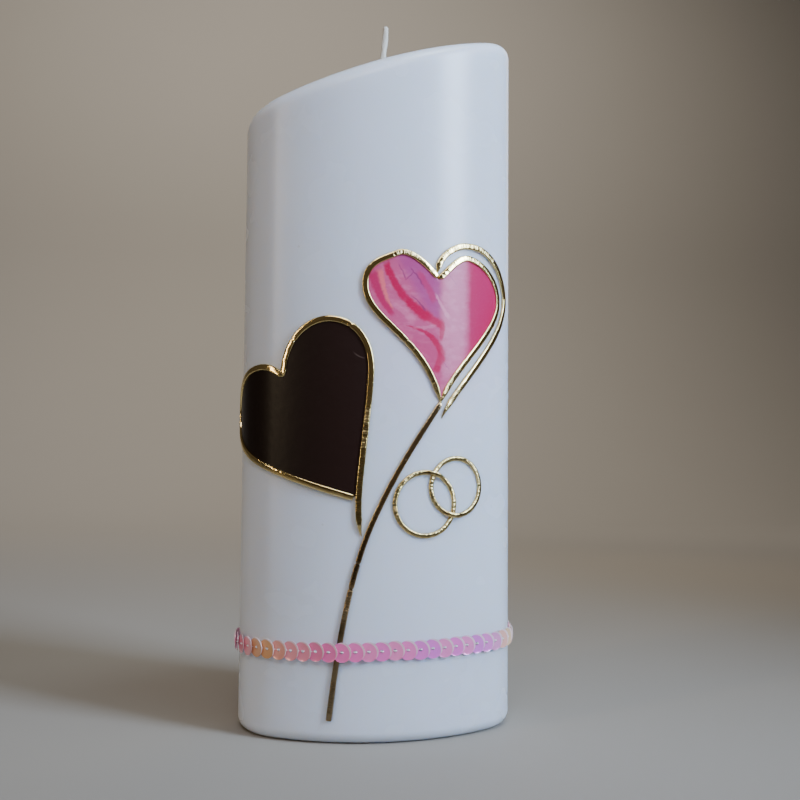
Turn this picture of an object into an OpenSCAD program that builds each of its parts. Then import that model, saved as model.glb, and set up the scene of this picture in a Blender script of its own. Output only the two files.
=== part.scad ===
// Unity candle: a tall oval pillar candle with a slanted top, decorated with two wax hearts,
// gold wax strips, two interlaced rings and a band of sequins near its foot.
// Millimetres, +Z up, the foot's centre at the origin and the decorated front towards -Y.
// Everything that lies on the wax is drawn flat, as [distance round the candle, height],
// and on_wax() wraps it round the oval. Distance 0 is the middle of the front.

/* [Candle body] */
// Width of the oval
body_w = 90; // [80:1:100]
// Depth of the oval
body_d = 56; // [52:1:62]
// Radius of the narrow left and right ends
end_r = 21; // [19:0.5:23]
// Height of the slanted top above the candle's axis
top_h = 216.8; // [205:0.1:230]
// Slope of the top, rising to the right
top_slope = 18.4; // [10:0.1:22]
// Rounding of the edge at the top
top_edge_r = 5.7; // [3:0.1:8]
// Rounding of the edge at the foot
foot_edge_r = 3.9; // [2.5:0.1:5]
// Thickness of the hard white coat over the pressed core
coat = 1.2; // [0.8:0.1:2]

/* [Wick] */
// Sideways place of the wick
wick_x = 0.3; // [-3:0.1:3]
// How far the wick's tip leans to the right
wick_lean = 1.5; // [0:0.1:4]
// Thickness of the braided wick
wick_dia = 2.2; // [1.6:0.1:2.3]
// Height of the wick's tip above the foot
wick_top = 236.8; // [232:0.1:245]
// Bore that the wick is drawn through
wick_bore = 2.5; // [2.4:0.1:3]
// Diameter of the metal wick tab
tab_dia = 18; // [14:0.5:22]

/* [Wax ornaments] */
// Width of the gold strips round the hearts
strip_w = 2; // [1.6:0.1:2.2]
// Width of the gold strip that makes the stem
stem_w = 1.8; // [1.4:0.1:2.1]
// Height of the gold strips
strip_h = 1; // [0.7:0.05:1.2]
// Thickness of the heart sheets
sheet = 0.5; // [0.4:0.05:0.7]
// Distance of the large ring's centre round the candle
ring_large_s = 11.6; // [11:0.1:12]
// Height of the large ring's centre
ring_large_z = 73.3; // [72:0.1:75]
// Outer radius of the large ring
ring_large_r = 10.7; // [9.5:0.1:11]
// Distance of the small ring's centre round the candle
ring_small_s = 22.4; // [21:0.1:23]
// Height of the small ring's centre
ring_small_z = 78.6; // [77:0.1:80]
// Outer radius of the small ring
ring_small_r = 9.8; // [9:0.1:10]
// Width of the rings' strip
ring_w = 1.6; // [1.2:0.05:1.7]
// Height of the rings' strip
ring_h = 0.75; // [0.6:0.05:0.8]

/* [Sequin band] */
// Number of sequins round the candle
sequin_count = 58; // [54:1:60]
// Diameter of a sequin
sequin_dia = 6; // [5.6:0.1:6.2]
// Thickness of a sequin
sequin_t = 0.15; // [0.1:0.01:0.18]
// Diameter of a sequin's hole
sequin_hole = 1; // [0.9:0.05:1.1]
// Height of the band above the foot
band_z = 28.6; // [24:0.2:34]
// Tilt of each sequin over its right neighbour
sequin_tilt = 9; // [9:0.5:10]
// Thickness of the sewing thread
thread_dia = 0.25; // [0.2:0.01:0.28]

/* [Hidden] */
half_w = body_w / 2;
half_d = body_d / 2;
face_r = (half_w * half_w + half_d * half_d - 2 * half_w * end_r) / (2 * (half_d - end_r));
face_angle = atan2(half_w - end_r, face_r - half_d);
face_len = face_r * face_angle * PI / 180;
end_len = 2 * end_r * (90 - face_angle) * PI / 180;
half_round = 2 * face_len + end_len;
ring_large_at = [ring_large_s, ring_large_z];
ring_small_at = [ring_small_s, ring_small_z];

ring_facets = 84;
rounding_steps = 4;
tab_lift = 0.2;
tab_t = 0.4;
neck_h = 5;
neck_r = wick_bore / 2 + 0.3;
clearance = 0.1;
sheet_gap = 0.08;

// The outlines are chains of cubic curves, four points to a curve with the ends shared.
PINK_LEFT = [[15.5, 144.5], [14, 146.5], [6.5, 154], [2, 152], [-2, 150], [-9, 149],
    [-8, 140.5], [-6.5, 129.5], [11, 125.5], [16.5, 105]];
PINK_RIGHT = [[15.5, 144.5], [18.5, 146.5], [22.5, 152.5], [27, 152], [33.5, 151], [39.5, 145.5],
    [39.5, 139], [40, 130], [20, 116.5], [16.5, 105]];
DARK_LEFT = [[-34, 113], [-39, 116.5], [-41.5, 117], [-48, 115], [-52, 113.5], [-60, 108],
    [-59.5, 100.5], [-59, 91], [-40.5, 83.5], [-11.2, 75.3]];
DARK_RIGHT = [[-34, 113], [-34.5, 122], [-28, 131], [-19, 131], [-10, 130.5], [-6, 123],
    [-6, 115], [-6, 107.5], [-9, 86], [-9.5, 75]];
DARK_TAIL = [[-9.5, 75], [-9.6, 71.5], [-9.6, 67.5], [-8.7, 63.5]];
ECHO = [[15.3, 147], [15.2, 152.5], [22.5, 156], [26, 156], [37.5, 157], [42.5, 146],
    [43.5, 141.5], [45.5, 130], [20.5, 110], [16.9, 100.2]];
STEM = [[15.9, 103.6], [7.5, 92], [1, 82], [-5.5, 67], [-9, 58.5], [-14, 44], [-18, 7.5]];
PINK_CENTRE = [15.5, 128];
DARK_CENTRE = [-27, 100];

// ---- The oval and the wrap round it ----

// Direction that the wax faces at distance s, in degrees from the front towards the right
function lean(s) =
    let (u = abs(s))
    sign(s) * (u <= face_len ? u / face_r * 180 / PI
        : u <= face_len + end_len ? face_angle + (u - face_len) / end_r * 180 / PI
        : 180 - (half_round - u) / face_r * 180 / PI);

// Centre of the arc at distance s
function arc_centre(s) =
    let (u = abs(s))
    u <= face_len ? [0, face_r - half_d]
        : u <= face_len + end_len ? [sign(s) * (half_w - end_r), 0]
        : [0, half_d - face_r];

// Radius of the arc at distance s
function arc_radius(s) = abs(s) <= face_len || abs(s) > face_len + end_len ? face_r : end_r;

function outward(s) = [sin(lean(s)), -cos(lean(s)), 0];

// Place that is s round the candle, z up and h proud of the wax
function on_wax(s, z, h) =
    let (c = arc_centre(s), n = outward(s), r = arc_radius(s) + h)
    [c.x + r * n.x, c.y + r * n.y, z];

function top_at(x) = top_h + tan(top_slope) * x;

// ---- Solids from rings of points ----

// Closed skin over a list of rings, which all have the same number of points
module ring_skin(rings, capped = true) {
    n = len(rings[0]);
    m = len(rings);
    last = capped ? m - 2 : m - 1;
    sides = [for (k = [0:last], i = [0:n - 1])
        let (a = k * n + i, b = k * n + (i + 1) % n, c = ((k + 1) % m) * n, d = (i + 1) % n)
        each [[a, c + d, b], [a, c + i, c + d]]];
    ends = capped ? [[for (i = [0:n - 1]) i], [for (i = [n - 1:-1:0]) (m - 1) * n + i]] : [];
    polyhedron([for (r = rings) each r], concat(sides, ends), convexity = 6);
}

// ---- Flat outlines ----

function bezier(p, t) =
    pow(1 - t, 3) * p[0] + 3 * pow(1 - t, 2) * t * p[1] + 3 * (1 - t) * t * t * p[2] + pow(t, 3) * p[3];

// Points along a chain of curves, steps to a curve
function along(chain, steps) =
    let (curves = (len(chain) - 1) / 3)
    [for (k = [0:curves - 1], i = [0:steps - (k == curves - 1 ? 0 : 1)])
        bezier([for (j = [0:3]) chain[3 * k + j]], i / steps)];

function unit(v) = v / norm(v);

// Sideways direction at point i of an open line
function across(line, i) =
    let (d = unit(line[min(i + 1, len(line) - 1)] - line[max(i - 1, 0)]))
    [d.y, -d.x];

// Distance along a line up to each of its points
function run(line) = [for (i = 0, d = 0; i < len(line); i = i + 1,
    d = i < len(line) ? d + norm(line[i] - line[i - 1]) : d) d];

// Sections of the strips, w wide and h high, as [sideways, proud of the wax]
function flat_section(w, h) =
    let (slant = min(0.3 * w, 0.35 * h))
    [[-w / 2, 0], [-w / 2, h - slant], [-w / 2 + slant, h],
        [w / 2 - slant, h], [w / 2, h - slant], [w / 2, 0]];

function half_round_section(w, h) = [[-w / 2, 0], [-w / 2, 0.35 * h], [-0.32 * w, 0.82 * h], [0, h],
    [0.32 * w, 0.82 * h], [w / 2, 0.35 * h], [w / 2, 0]];

// Share of its full width that a strip has at a distance from a pointed end, full after the reach
function pointed(d, reach) = reach > 0 ? min(1, 0.12 + d / reach) : 1;

// Flat strip of wax along an open line, narrowed to a point over the first and last stretches
module strip(line, w = strip_w, first = 0, last = 0) {
    d = run(line);
    total = d[len(d) - 1];
    ring_skin([for (i = [0:len(line) - 1])
        let (side = across(line, i), narrow = min(pointed(d[i], first), pointed(total - d[i], last)))
        [for (q = flat_section(w * narrow, strip_h))
            on_wax(line[i].x + side.x * q.x, line[i].y + side.y * q.x, sheet_gap + q.y)]]);
}

// Thin sheet inside a closed outline, which its centre can see all of
module heart_sheet(outline, centre) {
    n = len(outline);
    edge = strip_w / 2 + clearance;
    shrunk = [for (i = [0:n - 1])
        let (p = outline[i], d = unit(outline[(i + 1) % n] - outline[(i + n - 1) % n]),
            reach = abs((p - centre) * [d.y, -d.x]))
        centre + (p - centre) * (1 - edge / max(reach, 7))];
    spread = [0.02, 0.16, 0.32, 0.48, 0.64, 0.8, 0.97, 1];
    level = function (share, h) [for (p = shrunk)
        let (q = centre + (p - centre) * share) on_wax(q.x, q.y, h)];
    top = sheet_gap + sheet;
    ring_skin(concat(
        [for (k = spread) level(k, sheet_gap)],
        [for (k = [len(spread) - 1:-1:0]) level(spread[k], k == len(spread) - 1 ? top - 0.2 : top)]));
}

// ---- Candle ----

// Level ring round the oval, inset from the outside of the coat and lifted by a rule for z
function oval_ring(inset, z_of) = [for (i = [0:ring_facets - 1])
    let (s = half_round * (2 * (i + 0.5) / ring_facets - 1), p = on_wax(s, 0, -inset))
    [p.x, p.y, z_of(p.x)]];

// Rings of a body that lies inside the outermost one by cover, but stands on the same floor
function body_rings(cover) =
    let (foot_r = foot_edge_r - cover, top_r = top_edge_r - cover, drop = cover / cos(top_slope))
    concat(
        cover > 0 ? [oval_ring(foot_edge_r + cover, function (x) 0)] : [],
        [for (k = [0:rounding_steps])
            let (t = 90 * k / rounding_steps)
            oval_ring(foot_edge_r - foot_r * sin(t), function (x) foot_edge_r - foot_r * cos(t))],
        [for (k = [0:rounding_steps + 1])
            let (t = 90 * k / (rounding_steps + 1))
            oval_ring(cover + top_r * (1 - cos(t)), function (x) top_at(x) - drop - top_r * (1 - sin(t)))]);

module bores() {
    translate([wick_x, 0, -1])
        cylinder(h = top_h + 40, d = wick_bore, $fn = 32);
    for (side = [-1, 1])
        pin_place(side)
            cylinder(h = 2 * pin_len, d = pin_bore, center = true, $fn = 24);
}

module wax_core() {
    color("ghostwhite")
        difference() {
            ring_skin(body_rings(coat));
            bores();
            translate([wick_x, 0, -1])
                cylinder(h = 1 + tab_lift + tab_t + clearance, d = tab_dia + 4 * clearance, $fn = 64);
            translate([wick_x, 0, -1])
                cylinder(h = 1 + tab_lift + neck_h + 2 * clearance, r = neck_r + clearance, $fn = 32);
        }
}

// The coat is one closed skin: up inside the core's face, over, and down the outside
module overdip_coat() {
    inner = body_rings(coat);
    outer = body_rings(0);
    color("white")
        difference() {
            ring_skin(concat([for (k = [len(inner) - 1:-1:0]) inner[k]], outer));
            bores();
        }
}

// ---- Wick ----

// Middle of the wick at a height: straight in the wax, then leaning with its tip upright
function wick_middle(z) =
    let (start = top_at(wick_x), t = max(0, (z - start) / (wick_top - start)))
    [wick_x + wick_lean * t * t * (3 - 2 * t), 0, z];

module wick() {
    sides = 12;
    free = [for (k = [0:10]) top_at(wick_x) - 2 + (wick_top - top_at(wick_x) + 2) * k / 10];
    heights = concat([tab_lift + tab_t, 60, 120, 180], free);
    color("gainsboro")
        ring_skin([for (k = [0:len(heights) - 1])
            let (c = wick_middle(heights[k]),
                r = wick_dia / 2 * (k == len(heights) - 1 ? 0.6 : 1))
            [for (i = [0:sides - 1]) c + r * [cos(360 * i / sides), sin(360 * i / sides), 0]]]);
}

module wick_tab() {
    outer = [[wick_dia / 2 + 0.1, 0], [tab_dia / 2, 0], [tab_dia / 2, tab_t], [neck_r, tab_t],
        [neck_r, neck_h], [wick_dia / 2 + 0.1, neck_h]];
    color("silver")
        translate([wick_x, 0, tab_lift])
            rotate_extrude($fn = 64)
                polygon(outer);
}

// ---- Hearts, strips and rings ----

// Closed outline from two halves that share both ends
function closed_outline(left, right) =
    let (a = along(left, 11), b = along(right, 11))
    concat([for (i = [len(a) - 1:-1:0]) a[i]], [for (i = [1:len(b) - 2]) b[i]]);

module dark_heart_sheet() {
    color("#2c211e")
        heart_sheet(closed_outline(DARK_LEFT, DARK_RIGHT), DARK_CENTRE);
}

module dark_heart_strip_left() {
    color("goldenrod")
        strip(along(DARK_LEFT, 13), first = 3.5);
}

module dark_heart_strip_right() {
    color("goldenrod")
        strip(concat(along(DARK_RIGHT, 13), [for (i = [1:5]) bezier(DARK_TAIL, i / 5)]),
            first = 3.5, last = 6);
}

module pink_heart_sheet() {
    color("#c86fa0")
        heart_sheet(closed_outline(PINK_LEFT, PINK_RIGHT), PINK_CENTRE);
}

module pink_heart_strip_left() {
    color("goldenrod")
        strip(along(PINK_LEFT, 13), first = 2.5, last = 6);
}

module pink_heart_strip_right() {
    color("goldenrod")
        strip(along(PINK_RIGHT, 13), first = 2.5, last = 6);
}

module echo_strip() {
    color("goldenrod")
        strip(along(ECHO, 14), first = 3, last = 7);
}

module stem_strip() {
    color("goldenrod")
        strip(along(STEM, 18), w = stem_w, first = 3);
}

// The rings cross at two places, and each passes over the other once
ring_spread = ring_small_at - ring_large_at;
ring_heading = atan2(ring_spread.y, ring_spread.x);
large_mid_r = ring_large_r - ring_w / 2;
small_mid_r = ring_small_r - ring_w / 2;

// Angle between the line of centres and a crossing, seen from the ring of radius a
function crossing(a, b) =
    let (d = norm(ring_spread)) acos((d * d + a * a - b * b) / (2 * d * a));

// Lift of a strip at a distance from the place where it passes over another
function hump(u) =
    let (flat = ring_w / 2 + 0.5, ramp = 2.6)
    u < flat ? 1 : u < flat + ramp ? 0.5 + 0.5 * cos(180 * (u - flat) / ramp) : 0;

module ring(at, r, over) {
    steps = 48;
    ring_skin([for (k = [0:steps - 1])
        let (t = 360 * k / steps, off = abs((t - over + 540) % 360 - 180),
            lift = (ring_h + clearance) * hump(off * PI / 180 * r))
        [for (q = half_round_section(ring_w, ring_h))
            on_wax(at.x + (r + q.x) * cos(t), at.y + (r + q.x) * sin(t), sheet_gap + lift + q.y)]],
        capped = false);
}

module ring_large() {
    color("goldenrod")
        ring(ring_large_at, large_mid_r, ring_heading + crossing(large_mid_r, small_mid_r));
}

module ring_small() {
    color("goldenrod")
        ring(ring_small_at, small_mid_r, ring_heading + 180 + crossing(small_mid_r, large_mid_r));
}

// ---- Sequin band ----

sequin_step = 2 * half_round / sequin_count;
sequin_lift = 0.8;
stem_at_band = -15.2;
stem_spread = 9;

function sequin_at(i) = -half_round + (i + 0.5) * sequin_step;

// Height of the middle of the band, which runs a little higher on the right
function band_height(s) = band_z + 0.5 * sin(180 * s / half_round);

// The band rises where it passes over the stem
function band_rise(s) = 0.85 * strip_h * exp(-pow((s - stem_at_band) / stem_spread, 2));
function band_slope(s) = -band_rise(s) * 2 * (s - stem_at_band) / pow(stem_spread, 2);

function sequin_middle(i) =
    let (s = sequin_at(i)) on_wax(s, band_height(s), sequin_lift + band_rise(s));

// Direction that sequin i faces, in degrees from the front towards the right
function sequin_facing(i) =
    let (s = sequin_at(i)) lean(s) - sequin_tilt - atan(band_slope(s));

module sequin() {
    rim = sequin_dia / 2;
    cup = 0.1;
    flat = 1.5;
    rotate_extrude($fn = 48)
        polygon([[sequin_hole / 2, 0], [flat, 0], [rim, cup], [rim, cup + sequin_t],
            [flat, sequin_t], [sequin_hole / 2, sequin_t]]);
}

module sequins() {
    color("plum")
        for (i = [0:sequin_count - 1])
            translate(sequin_middle(i))
                rotate([0, 0, sequin_facing(i)])
                    rotate([90, 0, 0])
                        sequin();
}

// The thread comes up through each hole and runs on under the next sequin to the left
module sequin_thread() {
    reach = 0.32;
    first = sequin_count - 3;
    stitches = [for (i = [first:-1:2])
        let (c = sequin_middle(i), f = sequin_facing(i), a = [sin(f), -cos(f), 0],
            mid = a * (sequin_t / 2))
        each [c + mid - a * reach, c + mid + a * reach]];
    n = len(stitches);
    sides = 5;
    color("white")
        ring_skin([for (k = [0:n - 1])
            let (along_dir = unit(stitches[min(k + 1, n - 1)] - stitches[max(k - 1, 0)]),
                u = unit(cross(along_dir, [0, 0, 1])))
            [for (j = [0:sides - 1])
                let (t = -360 * j / sides)
                stitches[k] + thread_dia / 2 * (cos(t) * u + sin(t) * [0, 0, 1])]]);
}

// ---- Pins that hold the band's two ends at the back ----

pin_len = 10;
pin_dia = 0.6;
pin_bore = 0.6;
pin_head = 1.8;

// Place of a pin's point of entry in the wax, with +Z outwards
module pin_place(side) {
    s = side * (half_round - sequin_step / 2);
    translate(on_wax(s, band_height(s), 0))
        rotate([-90, 0, 0])
            children();
}

module trim_pins() {
    color("silver")
        for (side = [-1, 1])
            pin_place(side)
                rotate_extrude($fn = 24)
                    polygon([[0, -pin_len], [pin_dia / 4, -pin_len + 0.6], [pin_dia / 2, -pin_len + 1.5],
                        [pin_dia / 2, sequin_lift + 0.45], [pin_head / 2, sequin_lift + 0.45],
                        [pin_head / 2, sequin_lift + 0.7], [pin_head / 4, sequin_lift + 0.95],
                        [0, sequin_lift + 1]]);
}

wax_core();
overdip_coat();
wick();
wick_tab();
dark_heart_sheet();
dark_heart_strip_left();
dark_heart_strip_right();
pink_heart_sheet();
pink_heart_strip_left();
pink_heart_strip_right();
echo_strip();
stem_strip();
ring_large();
ring_small();
sequins();
sequin_thread();
trim_pins();
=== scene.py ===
"""Unity candle: the dipped oval pillar, its wax hearts, gold strips, rings and sequin band.

Lengths are in metres. Everything that lies on the wax is laid out flat, as (distance round the
candle, height), and Oval.on_wax wraps it round. Distance 0 is the middle of the front.
"""

import math
import random

import bmesh
import bpy
from mathutils import Matrix, Vector, noise
from mathutils.geometry import interpolate_bezier


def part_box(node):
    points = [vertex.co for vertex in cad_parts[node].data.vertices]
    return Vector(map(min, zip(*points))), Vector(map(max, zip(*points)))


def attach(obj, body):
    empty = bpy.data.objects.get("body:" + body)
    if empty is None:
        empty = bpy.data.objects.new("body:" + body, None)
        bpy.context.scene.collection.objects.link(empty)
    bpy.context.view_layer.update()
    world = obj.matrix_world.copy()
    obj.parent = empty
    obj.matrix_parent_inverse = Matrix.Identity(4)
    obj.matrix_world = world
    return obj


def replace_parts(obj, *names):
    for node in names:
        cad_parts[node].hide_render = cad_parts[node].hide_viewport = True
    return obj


bl_info = {
    "name": "Unity Candle",
    "version": (1, 0, 0),
    "blender": (4, 5, 0),
    "location": "View3D > Sidebar > Candle",
    "description": "Builds a tall oval wedding candle with wax hearts, gold strips, rings and sequins",
    "category": "Add Mesh",
}

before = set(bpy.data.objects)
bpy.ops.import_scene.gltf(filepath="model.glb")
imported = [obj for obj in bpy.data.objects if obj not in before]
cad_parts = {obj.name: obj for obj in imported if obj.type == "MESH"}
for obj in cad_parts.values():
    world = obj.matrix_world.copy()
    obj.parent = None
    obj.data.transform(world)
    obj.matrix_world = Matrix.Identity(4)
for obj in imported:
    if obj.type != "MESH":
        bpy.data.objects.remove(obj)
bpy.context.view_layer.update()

MM = 0.001
COAT_LOW, COAT_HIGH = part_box("overdip_coat")
WICK_LOW, WICK_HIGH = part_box("wick")
BAND_LOW, BAND_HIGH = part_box("sequins")

# Outlines on the wax in millimetres: chains of cubic curves, four points to a curve with shared ends
PINK_LEFT = ((15.5, 144.5), (14, 146.5), (6.5, 154), (2, 152), (-2, 150), (-9, 149),
             (-8, 140.5), (-6.5, 129.5), (11, 125.5), (16.5, 105))
PINK_RIGHT = ((15.5, 144.5), (18.5, 146.5), (22.5, 152.5), (27, 152), (33.5, 151), (39.5, 145.5),
              (39.5, 139), (40, 130), (20, 116.5), (16.5, 105))
DARK_LEFT = ((-34, 113), (-39, 116.5), (-41.5, 117), (-48, 115), (-52, 113.5), (-60, 108),
             (-59.5, 100.5), (-59, 91), (-40.5, 83.5), (-11.2, 75.3))
DARK_RIGHT = ((-34, 113), (-34.5, 122), (-28, 131), (-19, 131), (-10, 130.5), (-6, 123),
              (-6, 115), (-6, 107.5), (-9, 86), (-9.5, 75))
DARK_TAIL = ((-9.5, 75), (-9.6, 71.5), (-9.6, 67.5), (-8.6, 63.4))
ECHO = ((15.3, 146.6), (15.2, 152.5), (22.5, 156), (26, 156), (37.5, 157), (42.5, 146),
        (43.5, 141.5), (45.5, 130), (20.5, 110), (16.9, 100.2))
STEM = ((16.7, 105.4), (7.8, 92.5), (1, 82), (-5.5, 67), (-9, 58.5), (-14, 44), (-18, 7.5))
PINK_CENTRE = (15.5, 128)
DARK_CENTRE = (-27, 100)
RING_LARGE_AT = (11.6, 73.3)
RING_SMALL_AT = (22.4, 78.6)


# ---- Sizes, colours and light ----

def length_property(name, description, default):
    return bpy.props.FloatProperty(name=name, description=description, default=default, unit="LENGTH")


def angle_property(name, description, degrees):
    return bpy.props.FloatProperty(
        name=name, description=description, default=math.radians(degrees), subtype="ANGLE")


def power_property(name, description, default):
    return bpy.props.FloatProperty(name=name, description=description, default=default, unit="POWER")


def colour_property(name, description, default):
    return bpy.props.FloatVectorProperty(
        name=name, description=description, default=default, subtype="COLOR", min=0, max=1)


def place_property(name, description, default):
    return bpy.props.FloatVectorProperty(
        name=name, description=description, default=default, subtype="TRANSLATION")


class CandleSizes(bpy.types.PropertyGroup):
    width: length_property("Width", "Width of the oval", COAT_HIGH[0] - COAT_LOW[0])
    depth: length_property("Depth", "Depth of the oval", COAT_HIGH[1] - COAT_LOW[1])
    end_radius: length_property("End radius", "Radius of the narrow left and right ends", 0.021)
    top_height: length_property("Top height", "Height of the slanted top at the candle's axis", 0.2168)
    top_slope: angle_property("Top slope", "Slope of the top, rising to the right", 18.4)
    top_edge: length_property("Top edge", "Rounding of the edge at the top", 0.0057)
    foot_edge: length_property("Foot edge", "Rounding of the edge at the foot", 0.0039)
    coat: length_property("Coat", "Thickness of the white coat over the core", 0.0012)
    wick_place: length_property("Wick place", "Sideways place of the wick",
                                WICK_LOW[0] + (WICK_HIGH[1] - WICK_LOW[1]) / 2)
    wick_width: length_property("Wick width", "Thickness of the braided wick", WICK_HIGH[1] - WICK_LOW[1])
    wick_lean: length_property("Wick lean", "How far the wick's tip leans to the right", 0.0015)


class OrnamentSizes(bpy.types.PropertyGroup):
    strip_width: length_property("Strip width", "Width of the gold strips", 0.002)
    stem_width: length_property("Stem width", "Width of the strip that makes the stem", 0.0018)
    strip_height: length_property("Strip height", "Height of the gold strips", 0.001)
    sheet: length_property("Sheet", "Thickness of the heart sheets", 0.0005)
    ring_width: length_property("Ring width", "Width of the rings' strip", 0.0016)
    ring_height: length_property("Ring height", "Height of the rings' strip", 0.00075)
    ring_large: length_property("Large ring", "Outer radius of the large ring", 0.0107)
    ring_small: length_property("Small ring", "Outer radius of the small ring", 0.0098)
    crinkle: length_property("Crinkle", "Depth of the crinkles in the gold foil", 0.00004)
    sequins: bpy.props.IntProperty(
        name="Sequins", description="Number of sequins round the candle", default=58, min=20)
    sequin_width: length_property("Sequin width", "Diameter of a sequin", 0.006)
    sequin_tilt: angle_property("Sequin tilt", "Tilt of each sequin over its right neighbour", 9)
    thread_width: length_property("Thread width", "Thickness of the sewing thread", 0.00044)


class CandleColours(bpy.types.PropertyGroup):
    wax: colour_property("Wax", "White coat", (0.70, 0.755, 0.855))
    core: colour_property("Core", "Pressed core under the foot", (0.70, 0.69, 0.66))
    gold: colour_property("Gold", "Foil of the heart edges, the echo and the rings", (0.93, 0.73, 0.33))
    # Painted shade: the stem's foil is the gold made darker, standing in for the dark room that its flat
    # face reflects.
    shaded_stem_gold: colour_property("Bronze", "Darker foil of the stem", (0.36, 0.265, 0.15))
    dark: colour_property("Dark heart", "Dark wax sheet", (0.0095, 0.0052, 0.0042))
    mauve: colour_property("Mauve", "Ground of the pink heart", (0.56, 0.10, 0.235))
    violet: colour_property("Violet", "Violet cloud of the pink heart", (0.36, 0.06, 0.235))
    magenta: colour_property("Magenta", "Drawn streaks of the pink heart", (0.50, 0.010, 0.080))
    rose: colour_property("Rose", "Right side of the pink heart", (0.50, 0.030, 0.125))
    # Its paler field on the pink heart is a painted highlight; the same colour also tints the marbling.
    pale_pink: colour_property("Pale pink", "Pale field of the pink heart", (0.88, 0.32, 0.50))
    peach: colour_property("Peach", "Pale streak at the left of the pink heart", (0.88, 0.17, 0.19))
    vein: colour_property("Vein", "Dark veins of the pink heart", (0.20, 0.035, 0.12))
    cotton: colour_property("Cotton", "Wick", (0.67, 0.655, 0.60))
    thread: colour_property("Thread", "Sewing thread of the sequins", (0.94, 0.90, 0.94))
    floor: colour_property("Floor", "Floor and backdrop", (0.33, 0.31, 0.28))


class StageSettings(bpy.types.PropertyGroup):
    camera_place: place_property("Camera place", "Where the camera stands", (-0.0478, -0.3313, 0.0883))
    camera_aim: place_property("Camera aim", "Point that the camera looks at", (0.0078, 0.0, 0.1073))
    camera_roll: angle_property("Camera roll", "Roll of the camera about its line of sight", 0.42)
    camera_lens: bpy.props.FloatProperty(
        name="Camera lens", description="Focal length in millimetres", default=44.44, unit="CAMERA")
    window_power: power_property("Window", "Power of the tall window light at the right", 1.3)
    fill_power: power_property("Fill", "Power of the large soft light in front and above", 0.35)
    ceiling_power: power_property("Ceiling", "Power of the soft light overhead", 0.2)
    side_strip_power: power_property("Side strip", "Power of the tall strip light at the left", 0.2)
    back_power: power_property("Back light", "Power of the warm light behind the candle", 0.3)
    backdrop_power: power_property("Backdrop", "Power of the light on the backdrop", 9.0)
    room_light: bpy.props.FloatProperty(
        name="Room", description="Strength of the light that comes from all round", default=0.06)


# ---- The oval and the wrap round it ----

class Oval:
    """The candle's section, made of four arcs, and the wrap of flat outlines round it."""

    def __init__(self, sizes):
        self.half_w = sizes.width / 2
        self.half_d = sizes.depth / 2
        self.end_r = sizes.end_radius
        span = self.half_w ** 2 + self.half_d ** 2 - 2 * self.half_w * self.end_r
        self.face_r = span / (2 * (self.half_d - self.end_r))
        self.face_angle = math.atan2(self.half_w - self.end_r, self.face_r - self.half_d)
        self.face_len = self.face_r * self.face_angle
        self.end_len = 2 * self.end_r * (math.pi / 2 - self.face_angle)
        self.half_round = 2 * self.face_len + self.end_len
        self.top_height = sizes.top_height
        self.rise = math.tan(sizes.top_slope)

    def arc(self, s):
        """Centre and radius of the arc at distance s, and the direction that the wax faces there."""
        u = abs(s)
        if u <= self.face_len:
            return (0, self.face_r - self.half_d), self.face_r, s / self.face_r
        if u <= self.face_len + self.end_len:
            turn = self.face_angle + (u - self.face_len) / self.end_r
            return (math.copysign(self.half_w - self.end_r, s), 0), self.end_r, math.copysign(turn, s)
        turn = math.pi - (self.half_round - u) / self.face_r
        return (0, self.half_d - self.face_r), self.face_r, math.copysign(turn, s)

    def lean(self, s):
        """Direction that the wax faces at distance s, from the front towards the right."""
        return self.arc(s)[2]

    def on_wax(self, s, z, h=0.0):
        """Place that is s round the candle, z up and h proud of the wax."""
        s = (s + self.half_round) % (2 * self.half_round) - self.half_round
        (x, y), r, turn = self.arc(s)
        return Vector((x + (r + h) * math.sin(turn), y - (r + h) * math.cos(turn), z))

    def top_at(self, x):
        """Height of the slanted top at the sideways place x."""
        return self.top_height + self.rise * x


def scene_sizes():
    """The candle's and the ornaments' settings, and the oval that they make."""
    scene = bpy.context.scene
    return scene.candle_sizes, scene.candle_ornaments, Oval(scene.candle_sizes)


# ---- Flat outlines ----

def along(chain, steps=48):
    """Points along a chain of cubic curves, in metres."""
    points = []
    for start in range(0, len(chain) - 1, 3):
        knots = [Vector((p[0], p[1], 0)) * MM for p in chain[start:start + 4]]
        curve = interpolate_bezier(*knots, steps)
        points += curve[1:] if points else curve
    return points


def evenly(points, gap):
    """The same line with its points about a gap apart, and its length."""
    lengths = [0.0]
    for a, b in zip(points, points[1:]):
        lengths.append(lengths[-1] + (b - a).length)
    count = max(4, round(lengths[-1] / gap))
    line = []
    k = 0
    for i in range(count + 1):
        wanted = lengths[-1] * i / count
        while k < len(points) - 2 and lengths[k + 1] < wanted:
            k += 1
        share = (wanted - lengths[k]) / max(lengths[k + 1] - lengths[k], 1e-9)
        line.append(points[k].lerp(points[k + 1], min(share, 1)))
    return line, lengths[-1]


def smooth(t):
    """Eases from 0 at t = 0 to 1 at t = 1."""
    t = min(max(t, 0.0), 1.0)
    return t * t * (3 - 2 * t)


# ---- Mesh work ----

# Roundness of a strip's section: 1 is half an ellipse, and less is flatter on top
FLAT = 0.42
ROUND = 0.6

# Share of a strip's section that goes over its top; the rest goes back along the wax
OVER = 0.8
SECTION_COLUMNS = 18

# Widths and height at a strip's ends, as shares of its own
TAPERED_WIDTH = 0.15
SHOULDER_WIDTH = 0.86
TIP_HEIGHT = 0.3

NICK_DEPTH = 0.35
NICK_LENGTH = 0.35 * MM

# Distances between the foil's crinkles: along a strip, along a ring, and across both
CRINKLE_ALONG = 0.55 * MM
CRINKLE_ROUND = 1.2 * MM
CRINKLE_ACROSS = 1.6 * MM


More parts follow.
